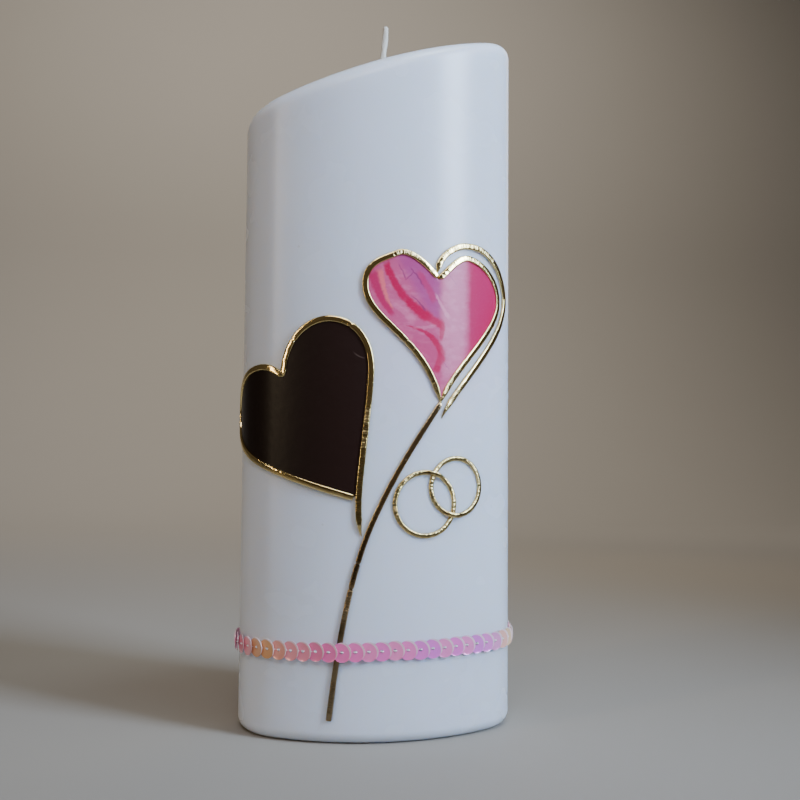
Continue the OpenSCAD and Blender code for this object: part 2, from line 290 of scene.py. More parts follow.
def new_object(name, bm, material):
    """An object in the scene with the bmesh as its mesh, shaded smooth."""
    mesh = bpy.data.meshes.new(name)
    bm.to_mesh(mesh)
    bm.free()
    for face in mesh.polygons:
        face.use_smooth = True
    mesh.materials.append(material)
    made = bpy.data.objects.new(name, mesh)
    bpy.context.collection.objects.link(made)
    return made


def finished_object(name, bm, material, slot, sharp=35):
    """A piece of the candle, riding on the one body; edges above sharp degrees stay crisp."""
    piece = new_object(name, bm, material)
    piece.data.set_sharp_from_angle(angle=math.radians(sharp))
    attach(piece, "root")
    return piece


def cover(node, material):
    """Gives a CAD node that stays in view its material."""
    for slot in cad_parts[node].material_slots:
        slot.material = material


def wrapped_grid(columns, rows, place, flat):
    """A grid sheet that is bent: place(u, v) gives each point and flat(u, v) its UV."""
    bm = bmesh.new()
    layer = bm.loops.layers.uv.verify()
    grid = bmesh.ops.create_grid(bm, x_segments=columns, y_segments=rows, size=0.5)
    share = {v: (v.co.x + 0.5, v.co.y + 0.5) for v in grid["verts"]}
    for face in bm.faces:
        for loop in face.loops:
            loop[layer].uv = flat(*share[loop.vert])
    for v, (a, b) in share.items():
        v.co = place(a, b)
    return bm


def close_up(bm, gap=1e-6):
    """Welds seams and poles, drops what they flatten and turns every face outwards."""
    bmesh.ops.remove_doubles(bm, verts=bm.verts, dist=gap)
    bmesh.ops.dissolve_degenerate(bm, edges=bm.edges, dist=gap)
    bmesh.ops.recalc_face_normals(bm, faces=bm.faces)


def section_point(across, width, height, roundness, tilt):
    """Section of a strip: across runs 0 to 1 over the top from left to right and back underneath.

    The tilt is the share of its height by which the top falls from its middle to its right edge.
    """
    if across <= OVER:
        turn = math.pi * (1 - across / OVER)
        x = math.copysign(abs(math.cos(turn)) ** roundness, math.cos(turn))
        return x * width / 2, abs(math.sin(turn)) ** roundness * height * (1 - tilt * x)
    return width / 2 * (1 - 2 * (across - OVER) / (1 - OVER)), 0.0


def with_ends(stations):
    """The stations of an open strip with a shoulder and a closing tip at each end."""
    def end(p, side, run, size, up):
        return (p, side, run, 0.0, up), (p, side, run, size * SHOULDER_WIDTH, up)

    first_tip, first_shoulder = end(*stations[0])
    last_tip, last_shoulder = end(*stations[-1])
    return [first_tip, first_shoulder, *stations[1:-1], last_shoulder, last_tip]


def strip_mesh(oval, line, total, width, height, crinkle, roundness=FLAT, tilt=0, taper=(0, 0),
               nicks=(), closed=False, lift=None):
    """A wax strip along a flat line: narrowed at its ends, creased by nicks and crinkled.

    The taper is the length over which it narrows at each end, and lift(k) raises it at point k.
    """
    last = len(line) - 1
    stations = []
    for k, p in enumerate(line):
        if closed:
            behind, ahead = line[(k - 1) % last], line[(k + 1) % last]
        else:
            behind, ahead = line[max(k - 1, 0)], line[min(k + 1, last)]
        d = (ahead - behind).normalized()
        run = total * k / last
        size = 1.0
        for reach, to_end in zip(taper, (run, total - run)):
            if reach:
                size = min(size, TAPERED_WIDTH + to_end / reach)
        for nick in nicks:
            size *= 1 - NICK_DEPTH * math.exp(-((run - nick) / NICK_LENGTH) ** 2)
        stations.append((p, Vector((d.y, -d.x, 0)), run, size, lift(k) if lift else 0.0))
    if not closed:
        stations = with_ends(stations)
    rows = len(stations) - 1

    def crinkle_seed(p, run, x):
        """Where the crinkles' noise is read, so that a closed strip's crinkles meet."""
        if closed:
            turn = 2 * math.pi * run / total
            reach = total / CRINKLE_ROUND / math.tau * 2
            return Vector((reach * math.cos(turn), reach * math.sin(turn), x / CRINKLE_ACROSS))
        return Vector((run / CRINKLE_ALONG, x / CRINKLE_ACROSS, p.x * 37 + p.y * 11))

    def place(across, share):
        p, side, run, size, up = stations[round(share * rows)]
        x, h = section_point(across, width * size, height * min(1, size + 0.25), roundness, tilt)
        if size == 0:
            h = height * TIP_HEIGHT
        seed = crinkle_seed(p, run, x)
        bump = crinkle * noise.noise(seed) if h > 0 else 0
        sway = 0.4 * crinkle * noise.noise(seed * 0.5 + Vector((7, 3, 5)))
        q = p + side * (x + sway)
        return oval.on_wax(q.x, q.y, up + h + bump)

    def flat(across, share):
        run = stations[round(share * rows)][2]
        return run / MM, (across - OVER / 2) * width / MM

    return wrapped_grid(SECTION_COLUMNS, rows, place, flat)


# ---- Shader work ----

class Value:
    """A number socket that adds Math nodes when it is used in arithmetic."""

    def __init__(self, finish, socket):
        self.finish = finish
        self.socket = socket

    def math(self, operation, *terms, clamp=False):
        settings = {"operation": operation, "use_clamp": clamp}
        return self.finish.node("ShaderNodeMath", settings, dict(enumerate((self, *terms))))

    def __add__(self, other):
        return self.math("ADD", other)

    __radd__ = __add__

    def __sub__(self, other):
        return self.math("SUBTRACT", other)

    def __rsub__(self, other):
        return self.finish.node("ShaderNodeMath", {"operation": "SUBTRACT"}, {0: other, 1: self})

    def __mul__(self, other):
        return self.math("MULTIPLY", other)

    __rmul__ = __mul__

    def __truediv__(self, other):
        return self.math("DIVIDE", other)

    def __pow__(self, other):
        return self.math("POWER", other)

    def __abs__(self):
        return self.math("ABSOLUTE")

    def clamped(self):
        return self.math("ADD", 0.0, clamp=True)


class Finish:
    """One material: its shader and the method that adds any other node."""

    def __init__(self, name, **constants):
        """A new material; the constants are the shader's sockets with underscores for spaces."""
        self.material = bpy.data.materials.new(name)
        self.material.use_nodes = True
        self.nodes = self.material.node_tree.nodes
        self.links = self.material.node_tree.links
        self.shader = self.nodes["Principled BSDF"]
        for socket, value in constants.items():
            self.shader.inputs[socket.replace("_", " ")].default_value = value

    def node(self, kind, settings=None, sockets=None, out=0):
        """Adds a node: its settings first, then its sockets' values or links, and wraps one output."""
        node = self.nodes.new(kind)
        for name, value in (settings or {}).items():
            if name == "stops":
                self.set_stops(node.color_ramp, value)
            else:
                setattr(node, name, value)
        for key, value in (sockets or {}).items():
            if isinstance(value, Value):
                self.links.new(value.socket, node.inputs[key])
            else:
                node.inputs[key].default_value = value
        return Value(self, node.outputs[out])

    @staticmethod
    def set_stops(ramp, stops):
        while len(ramp.elements) > 1:
            ramp.elements.remove(ramp.elements[-1])
        ramp.elements[0].position = stops[0][0]
        ramp.elements[0].color = (*stops[0][1], 1)
        for place, colour in stops[1:]:
            ramp.elements.new(place).color = (*colour, 1)

    def feed(self, socket, value):
        """Links a value to one of the shader's sockets."""
        self.links.new(value.socket, self.shader.inputs[socket])

    def object_space(self):
        return self.node("ShaderNodeTexCoord", out="Object")

    def flat_space(self):
        return self.node("ShaderNodeUVMap")

    def parts(self, vector):
        """The x, y and z of a vector."""
        split = self.node("ShaderNodeSeparateXYZ", None, {0: vector})
        return [Value(self, output) for output in split.socket.node.outputs]

    def stretched(self, vector, scale, offset=(0, 0, 0)):
        return self.node("ShaderNodeMapping", None, {
            "Vector": vector, "Scale": scale, "Location": offset})

    def grain(self, vector, scale, detail=3.0, rough=0.5, warp=0.0):
        return self.node("ShaderNodeTexNoise", None, {
            "Vector": vector, "Scale": scale, "Detail": detail, "Roughness": rough, "Distortion": warp})

    def mixed(self, mask, below, above):
        """The colour below, covered by the colour above where the mask is 1."""
        node = self.nodes.new("ShaderNodeMix")
        node.data_type = "RGBA"
        for key, value in ((0, mask), (6, below), (7, above)):
            if isinstance(value, Value):
                self.links.new(value.socket, node.inputs[key])
            elif key == 0:
                node.inputs[key].default_value = value
            else:
                node.inputs[key].default_value = (*value, 1)
        return Value(self, node.outputs[2])

    def band(self, value, low, high):
        """0 below low and 1 above high, eased between; the other way round if low is the larger."""
        if low > high:
            return 1 - self.band(value, high, low)
        return self.node("ShaderNodeMapRange", {"interpolation_type": "SMOOTHSTEP"},
                         {"Value": value, "From Min": low, "From Max": high})

    def bumped(self, height, distance, strength=1.0):
        normal = self.node("ShaderNodeBump", None, {
            "Height": height, "Distance": distance, "Strength": strength})
        self.feed("Normal", normal)

    def streak(self, x, y, start, end, widths, bow=0.0):
        """1 along a stroke from start to end that tapers between two half widths and bows aside."""
        length = math.dist(start, end)
        ahead = ((end[0] - start[0]) / length, (end[1] - start[1]) / length)
        right = x - start[0]
        up = y - start[1]
        run = (right * ahead[0] + up * ahead[1]) / length
        aside = up * ahead[0] - right * ahead[1]
        if bow:
            aside = aside - run * (1 - run) * (4 * bow)
        half = (widths[0] + run * (widths[1] - widths[0])).math("MAXIMUM", 0.05)
        ends = self.band(abs(run - 0.5), 0.5 + 0.8 / length, 0.5 - 1.2 / length)
        return self.band(abs(aside) / half, 1.35, 0.50) * ends

    def spot(self, x, y, at, radius):
        """1 at a place on the flat layout, fading to 0 at the radius."""
        dx = x - at[0]
        dy = y - at[1]
        far = (dx * dx + dy * dy) ** 0.5
        return self.band(far, radius, radius * 0.4)


def toned(colour, share):
    """The colour made darker by a share below 1, or lighter by one above it."""
    return tuple(c * share for c in colour)


def white_wax_finish(colours):
    """Clouded white wax with a pink reflection near the pink heart and two specks."""
    finish = Finish("dipped_white_wax", Roughness=0.34, Subsurface_Weight=1.0, Subsurface_Scale=0.0035,
                    Subsurface_Radius=(1.0, 0.85, 0.75), IOR=1.44, Specular_IOR_Level=0.45)
    space = finish.object_space()
    cloud = finish.band(finish.grain(space, 28.0, 2.0), 0.35, 0.7)
    colour = finish.mixed(cloud, colours.wax, toned(colours.wax, 0.97))
    x, y, _ = finish.parts(finish.flat_space())
    # Painted reflection: a pink glow laid on the wax around the pink heart.
    painted_pink_glow = finish.spot(x, y, PINK_CENTRE, 40.0)
    colour = finish.mixed(painted_pink_glow * 0.16, colour, (0.80, 0.60, 0.76))
    specks = finish.spot(x, y, (-29.6, 154.1), 0.55) + finish.spot(x, y, (-20.7, 66.9), 0.5)
    colour = finish.mixed(specks.clamped() * 0.35, colour, (0.45, 0.45, 0.46))
    finish.feed("Base Color", colour)
    waves = finish.grain(finish.stretched(space, (1, 1, 0.55)), 16.0, 1.0)
    finish.bumped(waves - specks * 0.5, 0.00003, 0.25)
    finish.feed("Roughness", 0.25 + finish.grain(space, 60.0, 2.0) * 0.04)
    return finish.material


def core_wax_finish(colours):
    finish = Finish("pressed_core_wax", Roughness=0.6, IOR=1.44)
    crumbs = finish.grain(finish.object_space(), 260.0, 4.0, 0.6)
    finish.feed("Base Color", finish.mixed(
        finish.band(crumbs, 0.35, 0.65), colours.core, toned(colours.core, 0.9)))
    finish.bumped(crumbs, 0.0004, 0.5)
    return finish.material


def gold_finish(name, gold, hatch, foot=None):
    """Thin foil with fine creases across the strip; hatch, from 0 to 1, makes them common and deep.

    A foot colour paints shade on the foil, darker toward the candle's foot, and one stretch of crumpling
    keeps the brighter gold as a painted glint.
    """
    finish = Finish(name, Metallic=1.0, Roughness=0.14)
    flat = finish.flat_space()
    creases = finish.grain(finish.stretched(flat, (2.6 - 0.6 * hatch, 0.3, 1)), 1.0, 2.0, 0.5, 0.5)
    ridges = finish.band(creases, 0.40, 0.60)
    rarity = 0.62 - 0.35 * hatch
    patch = finish.band(finish.grain(finish.object_space(), 62.0, 1.0), rarity, rarity + 0.08)
    # Colour of the wear spots and of the painted shade in the creases.
    wear_and_crease_shade = toned(foot or gold, 0.3)
    if foot:
        # Painted shade: toward the foot the foil turns to the darker foot colour, except on the stretch of
        # crumpling, which keeps the brighter gold as a painted glint.
        height = finish.parts(finish.object_space())[2]
        crumpled_with_painted_glint = finish.band(height, 0.036, 0.040) * finish.band(height, 0.052, 0.047)
        gold = finish.mixed(finish.band(height, 0.085, 0.045) * (1 - crumpled_with_painted_glint), gold, foot)
        patch = (patch + crumpled_with_painted_glint).clamped()
    folds = finish.grain(finish.stretched(flat, (0.28, 0.5, 1)), 1.0, 3.0, 0.6)
    finish.bumped(ridges * (patch * 0.9 + 0.1) + folds, 0.00003 + 0.00003 * hatch, 1.0)
    wear = finish.band(finish.grain(finish.object_space(), 420.0, 4.0), 0.60, 0.72)
    # Wear spots, and painted shade darkening the hollows between the crease ridges.
    shade = (wear * 0.6 + (1 - ridges) * patch * (0.4 + 0.3 * hatch)).clamped()
    finish.feed("Base Color", finish.mixed(shade, gold, wear_and_crease_shade))
    finish.feed("Roughness", 0.09 + wear * 0.2 + finish.grain(flat, 2.2, 2.0) * 0.07)
    return finish.material


def dark_wax_finish(colours):
    """Dark sheet, browner at its right, with faint streaks, dust and one scratch."""
    finish = Finish("dark_wax_sheet", Roughness=0.4, IOR=1.42, Specular_IOR_Level=0.28)
    flat = finish.flat_space()
    x, y, _ = finish.parts(flat)
    browner = tuple(c * k for c, k in zip(colours.dark, (1.9, 1.6, 1.6)))
    colour = finish.mixed(finish.band(x, -12, 16), colours.dark, browner)
    streaks = finish.grain(finish.stretched(flat, (0.5, 3.0, 1)), 1.0, 3.0)
    colour = finish.mixed(finish.band(streaks, 0.55, 0.8) * 0.4, colour, (0.020, 0.014, 0.011))
    dust = finish.band(finish.grain(flat, 2.6, 2.0, 0.5), 0.74, 0.80)
    scratch = finish.streak(x, y, (15.6, 20.3), (18.8, 18.6), (0.16, 0.22), -0.3)
    marks = (dust * 0.3 + scratch * 0.35).clamped()
    finish.feed("Base Color", finish.mixed(marks, colour, (0.16, 0.11, 0.09)))
    finish.bumped(finish.grain(flat, 0.22, 2.0) + finish.grain(flat, 3.0, 3.0) * 0.03, 0.0003, 0.3)
    finish.feed("Roughness", 0.30 + finish.grain(flat, 0.7, 3.0) * 0.12)
    return finish.material


# Streaks drawn through the pink marbling, in millimetres from the heart's centre:
# colour, start, end, half widths at both ends, bow, strength
MARBLING = (
    ("peach", (-19.4, 18.6), (-15.4, 6.2), (1.3, 0.45), -0.4, 0.75),
    ("rose", (-21.6, 17.8), (-15.0, 4.4), (1.8, 0.8), -0.9, 1.0),
    ("magenta", (-17.4, 21.0), (-10.4, 9.1), (1.15, 1.3), -0.7, 0.95),
    ("magenta", (-11.0, 9.8), (-3.0, 3.7), (1.3, 2.0), -0.4, 1.0),
    ("magenta", (-4.6, 4.2), (1.5, 1.6), (1.3, 1.5), 0.2, 0.85),
    ("magenta", (0.7, 3.2), (1.2, -3.4), (1.3, 0.5), 0.4, 0.75),
    ("magenta", (-10.6, 1.1), (-3.4, -1.3), (0.2, 0.7), 0.3, 0.85),
    ("magenta", (-4.4, -0.8), (1.2, -7.4), (0.7, 1.5), 0.8, 0.95),
    ("magenta", (1.2, -6.0), (-1.2, -13.4), (1.7, 1.3), 0.6, 0.8),
    ("rose", (-6.8, 18.4), (-1.2, 9.0), (1.0, 1.3), 0.2, 0.6),
    ("pale_pink", (-0.9, 11.6), (3.9, 4.2), (0.35, 0.8), -0.2, 0.55),
    ("pale_pink", (-8.6, 0.6), (-1.2, 1.4), (0.3, 0.6), -0.4, 0.25),
    ("pale_pink", (-15.4, 8.0), (-8.0, 2.0), (0.8, 1.3), 0.6, 0.25),
    ("vein", (-13.2, 20.4), (-11.0, 15.6), (0.16, 0.22), 0.2, 0.6),
    ("vein", (-11.0, 15.7), (-8.4, 18.0), (0.22, 0.14), -0.2, 0.6),
    ("vein", (-9.4, 19.4), (-5.0, 13.6), (0.16, 0.34), 0.3, 0.6),
    ("vein", (-9.0, 10.6), (-4.4, 6.1), (0.22, 0.34), 0.2, 0.7),
    ("violet", (3.4, 18.6), (6.6, 15.0), (0.1, 0.14), 0.0, 0.4),
    ("violet", (1.8, -9.8), (3.9, -12.4), (0.2, 0.1), 0.0, 0.5),
)


def pink_wax_finish(colours):
    """Marbled sheet: a mauve ground, violet and rose fields, a paler field that is a painted highlight, and
    streaks drawn through them.
    """
    finish = Finish("marbled_pink_wax", Roughness=0.16, IOR=1.45, Specular_IOR_Level=0.17,
                    Subsurface_Weight=0.15, Subsurface_Scale=0.0012, Subsurface_Radius=(1.0, 0.35, 0.5))
    flat = finish.flat_space()
    x, y, _ = finish.parts(flat)
    drift = finish.grain(flat, 0.17, 3.0, 0.55) - 0.5
    fray = finish.grain(finish.stretched(flat, (0.9, 0.9, 1), (3, 8, 0)), 1.0, 3.0, 0.6) - 0.5
    x = x + drift * 1.9 + fray * 1.0
    y = y - drift * 1.4 + fray * 0.8
    cloud = finish.band(x * 0.86 + y * 0.51, -2.2, 1.6)
    cloud = cloud * finish.band(x, 2.0, -0.6) * finish.band(y, 1.0, 6.0)
    mist = finish.grain(finish.stretched(flat, (0.16, 0.32, 1), (5, 2, 0)), 1.0, 3.0, 0.6)
    ground = finish.mixed(finish.band(mist, 0.45, 0.65) * 0.2, colours.mauve, colours.pale_pink)
    colour = finish.mixed(cloud * 0.7, ground, colours.violet)
    low = finish.band(y, 2.0, -6.0) * finish.band(x, 1.6, 0.0)
    colour = finish.mixed(low * 0.35, colour, colours.rose)
    # Painted highlight: a paler field across the heart's middle stands in for the window's reflection.
    painted_highlight_field = finish.band(x, 0.2, 2.4) * finish.band(y, -18.0, -11.0)
    colour = finish.mixed(painted_highlight_field * 0.25, colour, colours.pale_pink)
    colour = finish.mixed(finish.band(x, 9.0, 12.6), colour, colours.rose)
    colour = finish.mixed(finish.band(x * 0.8 - y * 0.4, 8.0, 17.0) * 0.6, colour, colours.magenta)
    for name, start, end, widths, bow, strength in MARBLING:
        mask = finish.streak(x, y, start, end, widths, bow)
        colour = finish.mixed(mask * strength, colour, getattr(colours, name))
    specks = finish.band(finish.grain(flat, 2.4, 2.0), 0.55, 0.75)
    finish.feed("Base Color", finish.mixed(specks * 0.3, colour, colours.mauve))
    finish.bumped(finish.grain(flat, 0.3, 2.0) + finish.grain(flat, 3.2, 2.0) * 0.035, 0.0003, 0.3)
    finish.feed("Roughness", 0.16 + finish.grain(flat, 0.6, 3.0) * 0.12)
    return finish.material


# The film's colours round the band, from the middle of the back past the left, front and right
FILM_COLOURS = (
    (0.00, (0.90, 0.34, 0.62)), (0.24, (1.0, 0.50, 0.72)), (0.29, (1.0, 0.46, 0.60)),
    (0.312, (0.94, 0.46, 0.44)), (0.325, (0.78, 0.42, 0.20)), (0.340, (0.80, 0.40, 0.18)),
    (0.355, (0.94, 0.40, 0.38)), (0.385, (0.96, 0.28, 0.44)), (0.42, (0.97, 0.20, 0.50)),
    (0.50, (1.0, 0.21, 0.60)), (0.57, (0.97, 0.20, 0.68)), (0.62, (0.95, 0.20, 0.72)),
    (0.655, (1.0, 0.26, 0.66)), (0.672, (1.0, 0.52, 0.44)), (0.70, (1.0, 0.72, 0.42)),
    (0.74, (0.95, 0.50, 0.48)), (0.80, (0.80, 0.34, 0.58)), (1.00, (0.80, 0.30, 0.56)),
)


def sequin_finish():
    """Iridescent film: its colour changes round the band and from disc to disc, and a painted highlight
    lightens its rim.
    """
    finish = Finish("sequin_film", Metallic=0.2, Roughness=0.22, IOR=1.5, Coat_Weight=0.5,
                    Coat_Roughness=0.12)
    turn, shade, rim = (finish.node("ShaderNodeAttribute", {"attribute_name": name}, out="Fac")
                        for name in ("turn", "shade", "rim"))
    glint = finish.grain(finish.object_space(), 230.0, 2.0)
    colour = finish.node("ShaderNodeValToRGB", {"stops": FILM_COLOURS}, {"Fac": turn})
    warm = finish.band(shade + glint * 0.4 - 0.2, 0.55, 0.85)
    cool = finish.band(shade + glint * 0.4 - 0.2, 0.40, 0.10) * finish.band(turn, 0.46, 0.56)
    colour = finish.mixed(warm * 0.35, colour, (0.95, 0.42, 0.48))
    colour = finish.mixed(cool * 0.4, colour, (0.66, 0.22, 0.92))
    # Painted highlight: a light crescent round each rim, widest at the upper right.
    colour = finish.mixed(finish.band(rim, 0.70, 0.82) * 0.85, colour, (1.0, 0.84, 0.93))
    finish.feed("Base Color", colour)
    finish.feed("Roughness", 0.16 + glint * 0.14)
    return finish.material


def cotton_finish(name, cotton, scale):
    finish = Finish(name, Roughness=0.75)
    fibres = finish.grain(finish.stretched(finish.flat_space(), (3.0, 9.0, 1)), scale, 4.0, 0.6)
    finish.feed("Base Color", finish.mixed(finish.band(fibres, 0.35, 0.65), toned(cotton, 0.8), cotton))
    finish.bumped(fibres, 0.0001, 0.6)
    return finish.material


def steel_finish(name, scale):
    finish = Finish(name, Metallic=1.0, Roughness=0.32)
    brushed = finish.grain(finish.stretched(finish.object_space(), (1, 12, 1)), scale, 3.0)
    finish.feed("Base Color", finish.mixed(brushed, (0.50, 0.50, 0.50), (0.66, 0.66, 0.65)))
    finish.feed("Roughness", 0.24 + brushed * 0.2)
    return finish.material


def floor_finish(colours):
    finish = Finish("pale_floor", Roughness=0.85)
    mottle = finish.grain(finish.object_space(), 7.0, 3.0)
    finish.feed("Base Color", finish.mixed(mottle, colours.floor, toned(colours.floor, 0.97)))
    return finish.material


# ---- Operators, one for each group of pieces ----

CANDLE_MIDDLE = (0.0, 0.0, 0.11)

# Name, place, width and height, spread in degrees, colour and what it is aimed at; the stage
# settings hold the power
SOFT_BOXES = (
    ("window", (0.404, -0.346, 0.42), (0.15, 0.53), 68, (0.62, 0.77, 1.0), (0.0, 0.0, 0.19)),
    ("fill", (-0.10, -0.55, 0.70), (0.50, 0.30), 60, (1.0, 0.95, 1.0), CANDLE_MIDDLE),
    ("ceiling", (0.12, -0.14, 0.66), (0.20, 0.12), 80, (0.80, 0.96, 1.0), CANDLE_MIDDLE),
    ("side_strip", (-0.52, -0.265, 0.29), (0.03, 0.50), 90, (1.0, 0.78, 0.50), CANDLE_MIDDLE),
    ("back", (0.34, 0.55, 0.42), (0.40, 0.40), 120, (1.0, 0.80, 0.52), CANDLE_MIDDLE),
    ("backdrop", (0.0, 0.55, 1.1), (1.2, 0.3), 140, (1.0, 0.93, 0.84), (0.0, 1.35, 0.25)),
)


def aimed(place, aim):
    """The turn that makes a camera or lamp at the place look at the aim."""
    return (Vector(aim) - Vector(place)).to_track_quat("-Z", "Y")


class CANDLE_OT_stage(bpy.types.Operator):
    """Lay the floor, hang the lights and set up the camera"""
    bl_idname = "candle.stage"
    bl_label = "Stage"

    def execute(self, context):
        stage = context.scene.candle_stage
        self.floor(context.scene.candle_colours)
        self.camera(context, stage)
        for name, *settings in SOFT_BOXES:
            self.soft_box(name, getattr(stage, name + "_power"), *settings)
        self.room(context, stage)
        return {"FINISHED"}

    def floor(self, colours):
        """A floor that curves up into a wall behind the candle."""
        width, ahead, behind, bend, wall = 4.4, 2.2, 0.9, 0.45, 1.8
        curve = bend * math.pi / 2

        def place(u, v):
            x = (u - 0.5) * width
            run = v * (ahead + behind + curve + wall) - ahead
            if run < behind:
                return Vector((x, run, 0))
            if run < behind + curve:
                turn = (run - behind) / bend
                return Vector((x, behind + bend * math.sin(turn), bend * (1 - math.cos(turn))))
            return Vector((x, behind + bend, bend + run - behind - curve))

        bm = wrapped_grid(4, 120, place, lambda u, v: (u, v))
        bmesh.ops.recalc_face_normals(bm, faces=bm.faces)
        floor = new_object("floor", bm, floor_finish(colours))

    def camera(self, context, stage):
        data = bpy.data.cameras.new("camera")
        data.lens = stage.camera_lens
        camera = bpy.data.objects.new("camera", data)
        turn = aimed(stage.camera_place, stage.camera_aim).to_matrix().to_4x4()
        roll = Matrix.Rotation(stage.camera_roll, 4, "Z")
        camera.matrix_world = Matrix.Translation(stage.camera_place) @ turn @ roll
        context.collection.objects.link(camera)
        context.scene.camera = camera

    def soft_box(self, name, power, place, size, spread, colour, aim):
        """A rectangular lamp whose light keeps within the spread."""
        data = bpy.data.lights.new(name, "AREA")
        data.shape = "RECTANGLE"
        data.size, data.size_y = size
        data.spread = math.radians(spread)
        data.energy = power
        data.color = colour
        lamp = bpy.data.objects.new(name, data)
        lamp.location = place
        lamp.rotation_euler = aimed(place, aim).to_euler()
        bpy.context.collection.objects.link(lamp)

    def room(self, context, stage):
        world = bpy.data.worlds.new("room")
        world.use_nodes = True
        sky = world.node_tree.nodes["Background"]
        sky.inputs["Color"].default_value = (1.0, 0.82, 0.62, 1)
        sky.inputs["Strength"].default_value = stage.room_light
        context.scene.world = world


class CANDLE_OT_coat(bpy.types.Operator):
    """Pour the white coat over the core"""
    bl_idname = "candle.coat"
    bl_label = "White coat"

    def execute(self, context):
        sizes, _, oval = scene_sizes()
        colours = context.scene.candle_colours
        rings = self.rings(sizes, oval)
        rows = len(rings) - 1

        def distance(u):
            return (2 * u - 1) * oval.half_round

        def place(u, v):
            return rings[round(v * rows)](distance(u))

        def flat(u, v):
            return distance(u) / MM, place(u, v).z / MM

        bm = wrapped_grid(240, rows, place, flat)
        close_up(bm, 2e-6)
        coat = finished_object("dipped_coat", bm, white_wax_finish(colours), "white_wax", 50)
        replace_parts(coat, "overdip_coat")
        cover("wax_core", core_wax_finish(colours))
        return {"FINISHED"}

    def rings(self, sizes, oval):
        """The coat's rings from the middle of its hidden underside up to the wick, as rules for s."""
        foot, edge, coat = sizes.foot_edge, sizes.top_edge, sizes.coat
        wick = Vector((sizes.wick_place, 0, 0))
        bore = sizes.wick_width / 2 * 0.98
        recess = 0.4 * MM
        creep_height, creep_reach = 0.9 * MM, 1.1 * MM
        wall_rows, top_rows = 48, 22
        quarter = [math.radians(a) for a in range(0, 91, 9)]

        def level(inset, z):
            return lambda s: oval.on_wax(s, z, -inset)

        def wall(share):
            def ring(s):
                p = oval.on_wax(s, 0, 0)
                p.z = foot + (oval.top_at(p.x) - edge - foot) * share
                return p
            return ring

        def under_top(inset, drop):
            def ring(s):
                p = oval.on_wax(s, 0, -inset)
                p.z = oval.top_at(p.x) - drop
                return p
            return ring

        def over_top(share):
            """From the rounded edge at 0 to the wick at 1, where the wax creeps up."""
            def ring(s):
                p = oval.on_wax(s, 0, -edge)
                out = Vector((p.x, p.y, 0)) - wick
                q = wick + out.normalized() * (bore + (out.length - bore) * (1 - share))
                far = (q - wick).length - bore
                q.z = oval.top_at(q.x) + creep_height * math.exp(-far / creep_reach)
                return q
            return ring

        return [
            lambda s: Vector((0, 0, recess)),
            level(foot + coat, recess),
            level(foot + coat, 0),
            *(level(foot * (1 - math.sin(t)), foot * (1 - math.cos(t))) for t in quarter),
            *(wall(k / wall_rows) for k in range(1, wall_rows)),
            *(under_top(edge * (1 - math.cos(t)), edge * (1 - math.sin(t))) for t in quarter),
            *(over_top(1 - (1 - k / top_rows) ** 1.5) for k in range(1, top_rows + 1)),
            lambda s: wick + Vector((0, 0, oval.top_at(wick.x))),
        ]


class CANDLE_OT_wick(bpy.types.Operator):
    """Braid the wick and finish its metal tab"""
    bl_idname = "candle.wick"
    bl_label = "Wick"

    def execute(self, context):
        sizes, _, oval = scene_sizes()
        cotton = context.scene.candle_colours.cotton
        start = oval.top_at(sizes.wick_place)
        low, tip = WICK_LOW[2], WICK_HIGH[2]
        radius = sizes.wick_width / 2
        pitch, rounding = 7.0 * MM, 1.2 * MM
        free_rows = 90
        heights = [low, low, 0.06, 0.12, 0.18, start - 2 * MM]
        heights += [start + (tip - start) * k / free_rows for k in range(free_rows + 1)]
        heights.append(tip)
        rows = len(heights) - 1

        def middle(z):
            lean = sizes.wick_lean * smooth((z - start) / (tip - start))
            return Vector((sizes.wick_place + lean, 0, z))

        def strand(turn):
            return max(0.0, math.cos(turn)) ** 0.6

        def place(u, v):
            k = round(v * rows)
            z = heights[k]
            if k in (0, rows):
                return middle(z)
            turn = math.tau * u
            twist = z / pitch * math.tau
            braid = max(strand(2 * turn + twist), strand(2 * turn - twist + 1.2))
            r = radius * (0.84 + 0.13 * braid)
            left = tip - z
            if left < rounding:
                r *= 0.55 + 0.45 * math.sqrt(max(0.0, 1 - (1 - left / rounding) ** 2))
            return middle(z) + Vector((math.cos(turn), math.sin(turn), 0)) * r

        def flat(u, v):
            return u * math.tau * radius / MM, heights[round(v * rows)] / MM

        bm = wrapped_grid(40, rows, place, flat)
        close_up(bm)
        finish = cotton_finish("wick_cotton", cotton, 1.0)
        wick = finished_object("braided_wick", bm, finish, "wick_cotton", 60)
        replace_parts(wick, "wick")
        cover("wick_tab", steel_finish("tab_steel", 90.0))
        return {"FINISHED"}


